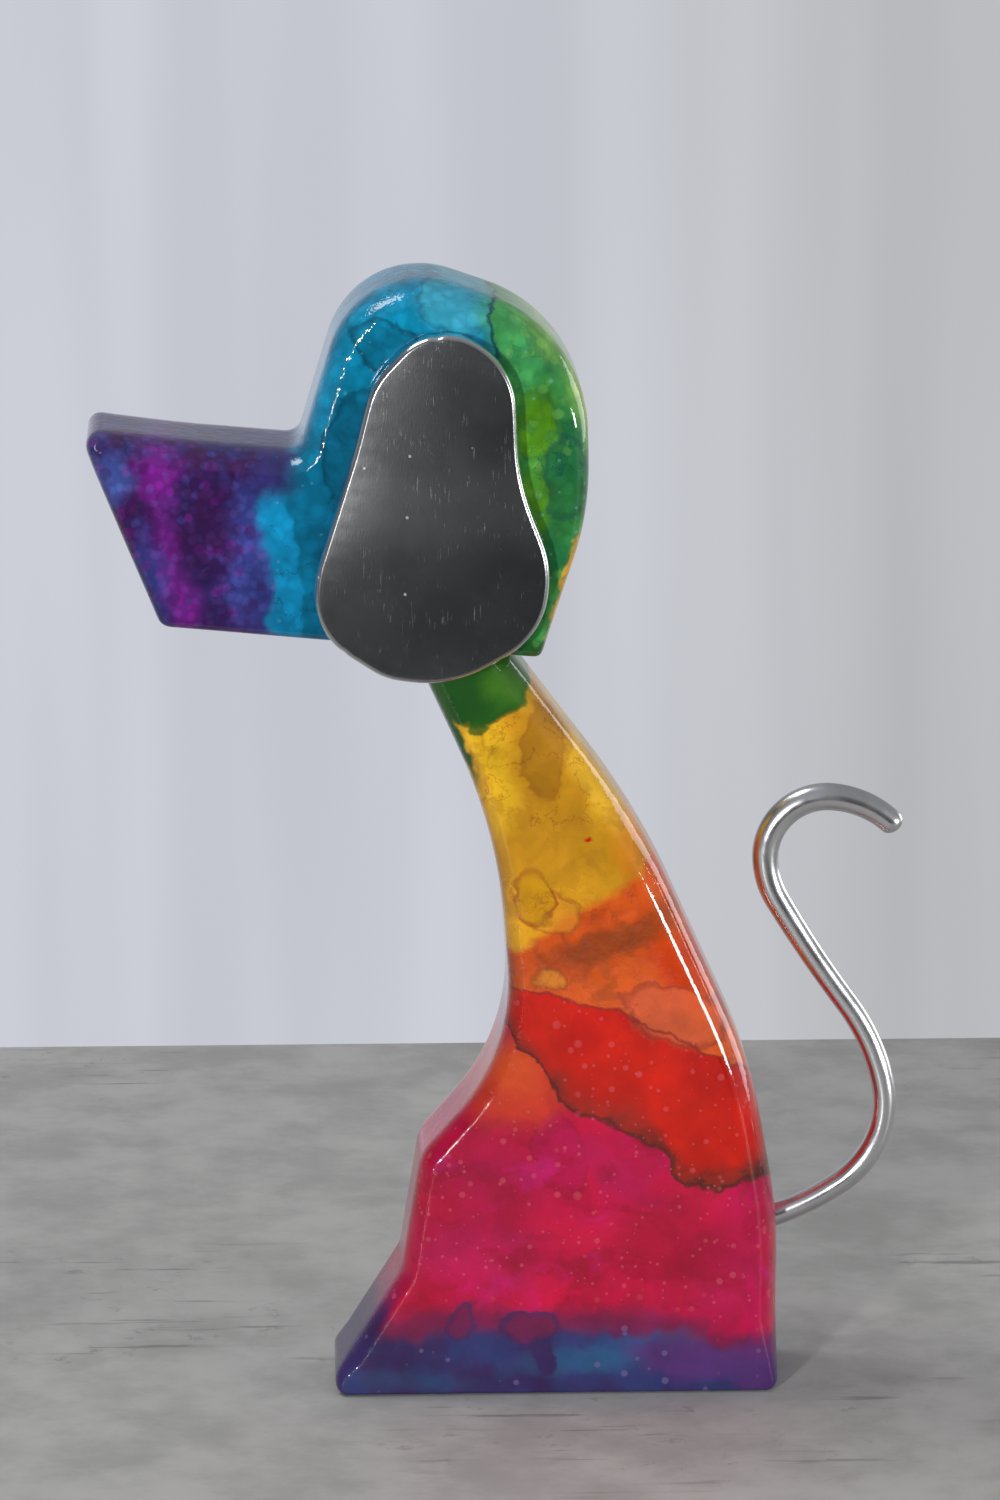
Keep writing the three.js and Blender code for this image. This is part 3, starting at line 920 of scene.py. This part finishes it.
def lay_yellow(coat):
    """Yellow throat and neck, stained with amber."""
    top = coat.ramp(coat.height_over(YELLOW_BORDER, 220), -2.6, 2.4)
    coat.lay(top, HONEY)
    gold = coat.both(top, coat.ramp(coat.noise(22, 4.0, at=coat.torn), 0.42, 0.6))
    coat.lay(coat.both(gold, 0.8), YELLOW)
    coat.pool(APRICOT, (-1, 133), (6.5, 6.5), soft=0.1, strength=0.6, line=(0.5, BURNT))
    coat.pool(MUSTARD, (-6, 138), (5.5, 8), soft=0.1, strength=0.8, line=(0.7, BURNT))
    coat.pool(ORANGE, (19.5, 149), (4.5, 13), turn=-24, soft=0.6, strength=0.5)
    coat.pool(AMBER, (6, 158), (10, 6), turn=-40, soft=0.6, strength=0.7)
    coat.pool(AMBER, (-12, 158), (6, 9), soft=0.6, strength=0.6)
    coat.pool(LEMON, (-18, 172), (6, 18), turn=-14, soft=0.5, strength=0.8)
    coat.pool(LEMON, (8, 174), (5.5, 22), turn=-22, soft=0.5, strength=0.6)
    coat.pool(AMBER, (-5, 176), (5.2, 13), turn=-4, soft=0.3, strength=0.85, line=(0.35, BURNT))
    coat.pool(AMBER, (-4, 147), (14, 5), soft=0.6, strength=0.55)
    coat.pool(RED, (7.7, 151.7), (0.9, 0.7), soft=0.5)
    stains = coat.ramp(coat.noise(10, 6.0, 0.65, at=coat.torn), 0.48, 0.6, end=0.6)
    coat.lay(coat.both(top, stains), AMBER)
    coat.veins(16, 0.012, 0.5, BURNT, share=top)


def lay_green(coat):
    """Green under the head and down the front of the neck."""
    coat.pool(LEAF, (-20, 198), (12.5, 15), turn=10, soft=0.06, line=(0.5, LEAF_LINE))
    coat.pool(FERN, (-14, 193), (6, 5), soft=0.7, strength=0.6)
    coat.pool(DARK_LEAF, (-26, 192), (5, 9), turn=-24, soft=0.6, strength=0.7)
    coat.pool(LEAF, (-20.5, 182.4), (3.0, 1.8), soft=0.2, strength=0.85)
    coat.pool(LEAF, (-33.5, 184), (6.5, 25), turn=-24, soft=0.12)


def body_ink():
    """Bands of ink from a blue base through crimson, red, orange and yellow to a green neck."""
    coat = Ink("inked_body", CRIMSON)
    lay_crimson(coat)
    base = lay_base(coat)
    lay_red(coat)
    lay_orange(coat)
    lay_yellow(coat)
    lay_green(coat)
    coat.mottle(0.22, 14)
    lower = coat.ramp(coat.part("Z", coat.place), 132, 104)
    above_base = coat.both(lower, coat.ramp(base, 0, 6))
    coat.veins(26, 0.010, 0.6, RUST, share=above_base)
    coat.speckles(1.9, 0.6, PALE_RED, 0.34, share=above_base)
    coat.speckles(3.6, 0.5, PALE_RED, 0.3, share=above_base)
    coat.speckles(5.6, 0.3, PALE_RED, 0.26, share=above_base)
    coat.speckles(3.6, 0.4, PALE_VIOLET, 0.5, share=coat.ramp(base, 0, -5))
    return coat.coated()


TEAL = rgb(0.002, 0.15, 0.28)
DEEP_TEAL = rgb(0.002, 0.07, 0.13)
TURQUOISE = rgb(0.006, 0.29, 0.56)
SKY = rgb(0.05, 0.36, 0.50)
FUCHSIA = rgb(0.21, 0.015, 0.27)
AUBERGINE = rgb(0.045, 0.010, 0.075)
PERIWINKLE = rgb(0.055, 0.07, 0.32)
INDIGO = rgb(0.035, 0.028, 0.15)
GRASS = rgb(0.05, 0.27, 0.055)
LIME = rgb(0.24, 0.52, 0.10)
MOSS = rgb(0.10, 0.30, 0.008)
PINE = rgb(0.018, 0.15, 0.045)
SEA_LINE = rgb(0.002, 0.035, 0.06)
CERULEAN = rgb(0.003, 0.26, 0.45)
OCEAN = rgb(0.002, 0.18, 0.33)
PALE_TEAL = rgb(0.22, 0.45, 0.55)
EMERALD = rgb(0.06, 0.34, 0.10)
CHARTREUSE = rgb(0.42, 0.55, 0.03)
DUSK_BLUE = rgb(0.06, 0.10, 0.34)
# What the rims of the small cells let through
VIOLET_RIM = rgb(0.4, 0.35, 0.5)
TEAL_RIM = rgb(0.4, 0.55, 0.55)


def lay_forehead(coat):
    """Teal, brighter towards the top, with deep patches and one pale pool."""
    coat.lay(coat.ramp(coat.part("Z", coat.torn), 236, 272), CERULEAN)
    patches = coat.ramp(coat.noise(16, 4.0, at=coat.torn), 0.46, 0.56)
    coat.lay(coat.both(patches, 0.7), OCEAN)
    coat.pool(DEEP_TEAL, (-52, 258), (9, 15), turn=16, soft=0.4, strength=0.6, line=(0.5, SEA_LINE))
    coat.pool(DEEP_TEAL, (-42, 283), (12, 7), turn=30, soft=0.3, strength=0.4, line=(0.6, SEA_LINE))
    coat.pool(SKY, (-25, 297), (10, 10), soft=0.2, strength=0.8, line=(0.35, SEA_LINE))


def lay_back_of_head(coat, x, back):
    """Greens behind a dark line down the head, and a yellow edge over the nape."""
    coat.lay(back, GRASS)
    coat.lay(coat.both(back, coat.ramp(coat.noise(13, 4.0, at=coat.torn), 0.44, 0.6)), PINE)
    coat.pool(EMERALD, (-13, 285), (5, 13), turn=-18, soft=0.6, strength=0.8)
    coat.pool(LIME, (-1, 289), (7, 13), turn=-35, soft=0.5, strength=0.95)
    coat.pool(LIME, (5, 274), (2.6, 13), turn=-16, soft=0.6, strength=0.7)
    coat.pool(CHARTREUSE, (9.5, 270), (3.0, 20), turn=-12, soft=0.6, strength=0.7)
    coat.pool(MOSS, (-6.5, 263), (6.5, 9), soft=0.3, strength=0.9, line=(0.4, PINE))
    coat.pool(MOSS, (-7, 240), (5, 12), soft=0.4, strength=0.85)
    coat.pool(PINE, (1.5, 250), (5.5, 11), soft=0.3, strength=0.7, line=(0.4, SEA_LINE))
    coat.pool(PINE, (-1, 232), (6, 6), soft=0.3, strength=0.6)
    from_line = coat.calc("ABSOLUTE", coat.calc("ADD", x, 17.2))
    coat.lay(coat.ramp(from_line, 0.9, 0.1, end=0.8), SEA_LINE)
    coat.pool(YELLOW, (1.8, 218), (2.4, 19), turn=17, soft=0.2)
    coat.pool(LEAF, (-3, 203), (9, 4), soft=0.3, strength=0.8)


def lay_snout(coat, x):
    """Turquoise, periwinkle, indigo and aubergine with fuchsia pools towards the nose."""
    coat.pool(TURQUOISE, (-72.5, 226), (5.5, 24), turn=-3, soft=0.14, strength=0.9)
    snout = coat.ramp(x, -76, -78.5)
    coat.lay(snout, INDIGO)
    top = coat.part("Z", coat.torn)
    coat.lay(coat.both(coat.ramp(x, -66, -72), coat.ramp(top, 242, 249)), INDIGO)
    coat.lay(coat.both(snout, coat.ramp(coat.noise(9, 4.0), 0.48, 0.6)), AUBERGINE)
    coat.pool(PERIWINKLE, (-81, 228), (5.5, 19), soft=0.35, strength=0.85)
    coat.pool(AUBERGINE, (-91, 238), (8, 15), soft=0.5, strength=0.8)
    coat.pool(AUBERGINE, (-88, 210), (9, 7), soft=0.5, strength=0.6)
    coat.pool(FUCHSIA, (-104, 252), (6, 7), turn=15, soft=0.6, strength=0.7)
    coat.pool(FUCHSIA, (-102, 237), (3.4, 11), turn=-8, soft=0.8, strength=0.65)
    coat.pool(FUCHSIA, (-97, 217), (4, 10), turn=-14, soft=0.7, strength=0.8)
    coat.pool(DUSK_BLUE, (-116, 250), (5.5, 5.5), soft=0.5, strength=0.9)
    coat.pool(PERIWINKLE, (-104, 226), (4, 10), turn=-20, soft=0.6, strength=0.5)


def head_ink():
    """A purple snout that turns blue, teal over the forehead and green down the back."""
    coat = Ink("inked_head", TEAL)
    x = coat.part("X", coat.torn)
    back = coat.ramp(x, -17.5, -16)
    lay_forehead(coat)
    lay_back_of_head(coat, x, back)
    lay_snout(coat, x)
    coat.mottle(0.3, 9)
    only_snout = coat.ramp(x, -72, -80)
    coat.tinted_cells(3.1, FUCHSIA, 0.2, 0.32, only_snout)
    coat.tinted_cells(2.6, PERIWINKLE, 0.3, 0.35, only_snout)
    coat.tinted_cells(3.6, AUBERGINE, 0.3, 0.4, only_snout)
    coat.tinted_cells(4.2, PINE, 0.35, 0.45, back)
    coat.tinted_cells(3.4, LIME, 0.2, 0.25, back)
    not_snout = coat.ramp(x, -80, -70)
    coat.bubbles(2.8, VIOLET_RIM, 0.5, share=only_snout)
    coat.bubbles(4.2, TEAL_RIM, 0.45, share=not_snout)
    coat.veins(18, 0.010, 0.5, SEA_LINE)
    coat.speckles(2.2, 0.4, PALE_TEAL, 0.22, share=not_snout)
    return coat.coated()


METAL_GRAIN = 0.05 * MM
SATIN_DARK = rgb(0.19, 0.197, 0.20)
SATIN_PALE = rgb(0.25, 0.257, 0.26)
PAINTED_SHEEN = rgb(0.52, 0.53, 0.53)
DARK_LOBE = rgb(0.12, 0.125, 0.13)
SCRATCHED = rgb(0.75, 0.75, 0.76)
PITTED = rgb(0.7, 0.7, 0.72)
RIM_POLISH_AND_HIGHLIGHT = rgb(0.74, 0.74, 0.75)
ROD_DARK = rgb(0.62, 0.62, 0.63)
ROD_PALE = rgb(0.80, 0.80, 0.81)


def ear_metal():
    """Cast aluminium with a satin face, scratched and pitted a little, a painted sheen across its
    middle, and a polished rim whose paler tone is partly a painted highlight.
    """
    metal = Surface("satin_aluminium")
    polish_and_highlight = metal.add("Attribute", {}, attribute_name="polish_and_highlight").outputs["Fac"]
    cloud = metal.noise(16, 4.0)
    tone = metal.mix(metal.ramp(cloud, 0.35, 0.65), SATIN_DARK, SATIN_PALE)
    height = metal.part("Z", metal.shifted(6, 15))
    # Painted sheen: a slightly paler band across the middle of the face, where its gentle
    # undulation would catch the light
    sheen_band = metal.both(metal.ramp(height, 228, 243), metal.ramp(height, 262, 246))
    tone = metal.mix(metal.both(sheen_band, 0.25), tone, PAINTED_SHEEN)
    tone = metal.mix(metal.ramp(height, 240, 222, end=0.45), tone, DARK_LOBE)
    scratch = 0.0
    for lean in (0.35, -0.25):
        strokes = metal.stretched(metal.place, (0, lean, 0), (4.2, 1, 0.15))
        hair = metal.noise(1.0, 2.0, at=strokes)
        scratch = metal.calc("MAXIMUM", scratch, metal.ramp(hair, 0.675, 0.70))
    sparse = metal.ramp(metal.noise(6, 2.0), 0.5, 0.6)
    scratch = metal.both(scratch, sparse)
    tone = metal.mix(metal.both(scratch, 0.4), tone, SCRATCHED)
    pit = metal.cells(5.5)
    dot = metal.ramp(pit["Distance"], 0.09, 0.05)
    rare = metal.part("X", pit["Color"])
    dot = metal.both(dot, metal.ramp(rare, 0.62, 0.66))
    tone = metal.mix(metal.both(dot, 0.7), tone, PITTED)
    # The rim is polished, so smoother; its paler tone is also a painted highlight along the rounded
    # rim
    tone = metal.mix(polish_and_highlight, tone, RIM_POLISH_AND_HIGHLIGHT)
    rough = metal.add("Mix", {0: polish_and_highlight, 2: 0.23, 3: 0.14}, data_type="FLOAT").outputs[0]
    grain = metal.stretched(metal.place, (0, 0, 0), (3.0, 3.0, 0.5))
    relief = metal.calc("ADD", metal.noise(0.8, 3.0, at=grain), metal.both(scratch, 0.4))
    relief = metal.calc("SUBTRACT", relief, metal.both(dot, 0.8))
    torn_up = metal.calc("MAXIMUM", metal.both(scratch, 0.15), metal.both(dot, 0.5))
    metallic = metal.calc("SUBTRACT", 1.0, torn_up)
    return metal.shade(
        {"Base Color": tone, "Metallic": metallic, "Roughness": rough},
        metal.bump(0.25, METAL_GRAIN, relief),
    )


def tail_metal():
    """Polished aluminium with slight grain along the rod."""
    metal = Surface("polished_aluminium")
    tone = metal.mix(metal.noise(12, 3.0), ROD_DARK, ROD_PALE)
    rough = metal.ramp(metal.noise(8, 4.0), 0.35, 0.65, start=0.17, end=0.26)
    bump = metal.bump(0.3, METAL_GRAIN, metal.noise(3.0, 3.0))
    return metal.shade({"Base Color": tone, "Metallic": 1.0, "Roughness": rough}, bump)


# Stage, light and camera

STONE_DARK = rgb(0.33, 0.328, 0.315)
STONE_PALE = rgb(0.44, 0.436, 0.42)
STONE_SCRATCH = rgb(0.12, 0.12, 0.115)
STONE_SCUFF = rgb(0.10, 0.10, 0.10)


def make_table():
    """A plain pale table top, whose back edge lies some way behind the dog."""
    mesh = bmesh.new()
    bmesh.ops.create_cube(mesh, size=1)
    width, depth, thick, back = 2.6, 0.8, 0.03, 0.324
    middle = Matrix.Translation((0, back - depth / 2, -thick / 2))
    mesh.transform(middle @ Matrix.Diagonal((width, depth, thick, 1)))
    table = add_mesh("table_top", mesh)
    stone = Surface("pale_table")
    cloud = stone.ramp(stone.noise(38, 7.0, 0.66), 0.34, 0.64)
    tone = stone.mix(cloud, STONE_DARK, STONE_PALE)
    along = stone.stretched(stone.place, (0, 0, 0.5), (0.10, 1, 1))
    hair = stone.noise(5, 4.0, at=along)
    worn = stone.ramp(stone.noise(120, 3.0), 0.5, 0.62)
    scratch = stone.both(stone.ramp(hair, 0.60, 0.66), worn)
    tone = stone.mix(stone.both(scratch, 0.55), tone, STONE_SCRATCH)
    scuff = stone.both(stone.ramp(stone.noise(9, 6.0, 0.75), 0.58, 0.66), worn)
    tone = stone.mix(stone.both(scuff, 0.4), tone, STONE_SCUFF)
    dress(table, stone.shade({"Base Color": tone, "Roughness": 0.55}))


LAMP_AIM = Vector((0, 0, 0.15))


def make_lamp(name, direction, distance, size, power):
    """A soft rectangular lamp that faces the middle of the figurine."""
    data = bpy.data.lights.new(name, "AREA")
    data.shape = "RECTANGLE"
    data.size, data.size_y = size
    data.energy = power
    lamp = add_object(name, data)
    away = Vector(direction).normalized()
    lamp.location = LAMP_AIM + away * distance
    lamp.rotation_mode = "QUATERNION"
    lamp.rotation_quaternion = away.to_track_quat("Z", "Y")


def towards(azimuth, elevation):
    """Direction from the figurine: azimuth 0 is the camera's side, positive to the right."""
    a, e = math.radians(azimuth), math.radians(elevation)
    return (math.sin(a) * math.cos(e), -math.cos(a) * math.cos(e), math.sin(e))


COOL_CURTAIN = rgb(0.60, 0.62, 0.685)
SHADOWED_CURTAIN = rgb(0.50, 0.505, 0.525)
DIM_ROOM = rgb(0.075, 0.076, 0.08)


def make_world():
    """A pale room with a curtain behind the dog, its folds and the dog's shadow on it painted as
    shade; the side it is seen from is dim.
    """
    world = bpy.data.worlds.new("room")
    bpy.context.scene.world = world
    world.use_nodes = True
    room = Nodes(world.node_tree)
    direction = room.add("TexCoord", {}).outputs["Generated"]
    across = room.part("X", direction)
    # The curtain greys towards the right: a painted shadow of the dog on it
    curtain = room.mix(room.ramp(across, 0.02, 0.10), COOL_CURTAIN, SHADOWED_CURTAIN)
    hanging_down = room.stretched(direction, (0, 0, 0), (34, 1, 3))
    # Painted shade of the curtain's folds, as paler and darker upright stripes
    fold = room.ramp(room.noise(1.0, 2.0, at=hanging_down), 0.3, 0.7, start=0.91, end=1.06)
    curtain_with_fold_shade = room.scaled(curtain, fold)
    towards_viewer = room.vector("DOT_PRODUCT", direction, (0.0, -0.96, -0.28))
    dimmer = room.ramp(across, -0.85, -0.25, start=0.4)
    around = room.scaled(curtain_with_fold_shade, dimmer)
    higher = room.ramp(room.part("Z", direction), 0.0, 0.3, 1.0, 0.55)
    around = room.scaled(around, higher)
    light = room.mix(room.ramp(towards_viewer, 0.6, 0.93), around, DIM_ROOM)
    background = room.add("Background", {"Color": light})
    output = room.add("OutputWorld", {})
    room.tree.links.new(background.outputs[0], output.inputs["Surface"])


def make_camera():
    """A long lens that looks down a little, almost square to the dog's side."""
    focal_pixels, image_height, sensor = 6790.85, 1500, 36
    yaw, pitch = math.radians(2.0), math.radians(-13.426)
    data = bpy.data.cameras.new("camera")
    data.sensor_width = sensor
    data.lens = focal_pixels / image_height * sensor
    data.clip_start, data.clip_end = 0.05, 50
    camera = add_object("camera", data)
    camera.location = (-0.0754, -1.740, 0.588)
    ahead = Vector(
        (math.sin(yaw) * math.cos(pitch), math.cos(yaw) * math.cos(pitch), math.sin(pitch))
    )
    camera.rotation_mode = "QUATERNION"
    camera.rotation_quaternion = ahead.to_track_quat("-Z", "Y")
    bpy.context.scene.camera = camera


make_camera()
make_world()
make_table()
make_lamp("window", towards(-22, 8), distance=1.6, size=(0.10, 0.15), power=15)
make_lamp("tall_window", towards(60, 2.6), distance=3.2, size=(0.96, 0.47), power=50)
make_lamp("side_window", towards(125, 5), distance=3.2, size=(1.7, 1.3), power=15)
make_lamp("overhead", towards(-100, 62), distance=2.2, size=(0.9, 0.9), power=22)

dress(make_body(), body_ink())
dress(make_head(), head_ink())
metal_of_ears = ear_metal()
for node, side in (("ear_left", -1), ("ear_right", 1)):
    dress(make_ear(node, side), metal_of_ears)
dress(make_tail(), tail_metal())

bpy.context.scene.view_settings.view_transform = "Standard"
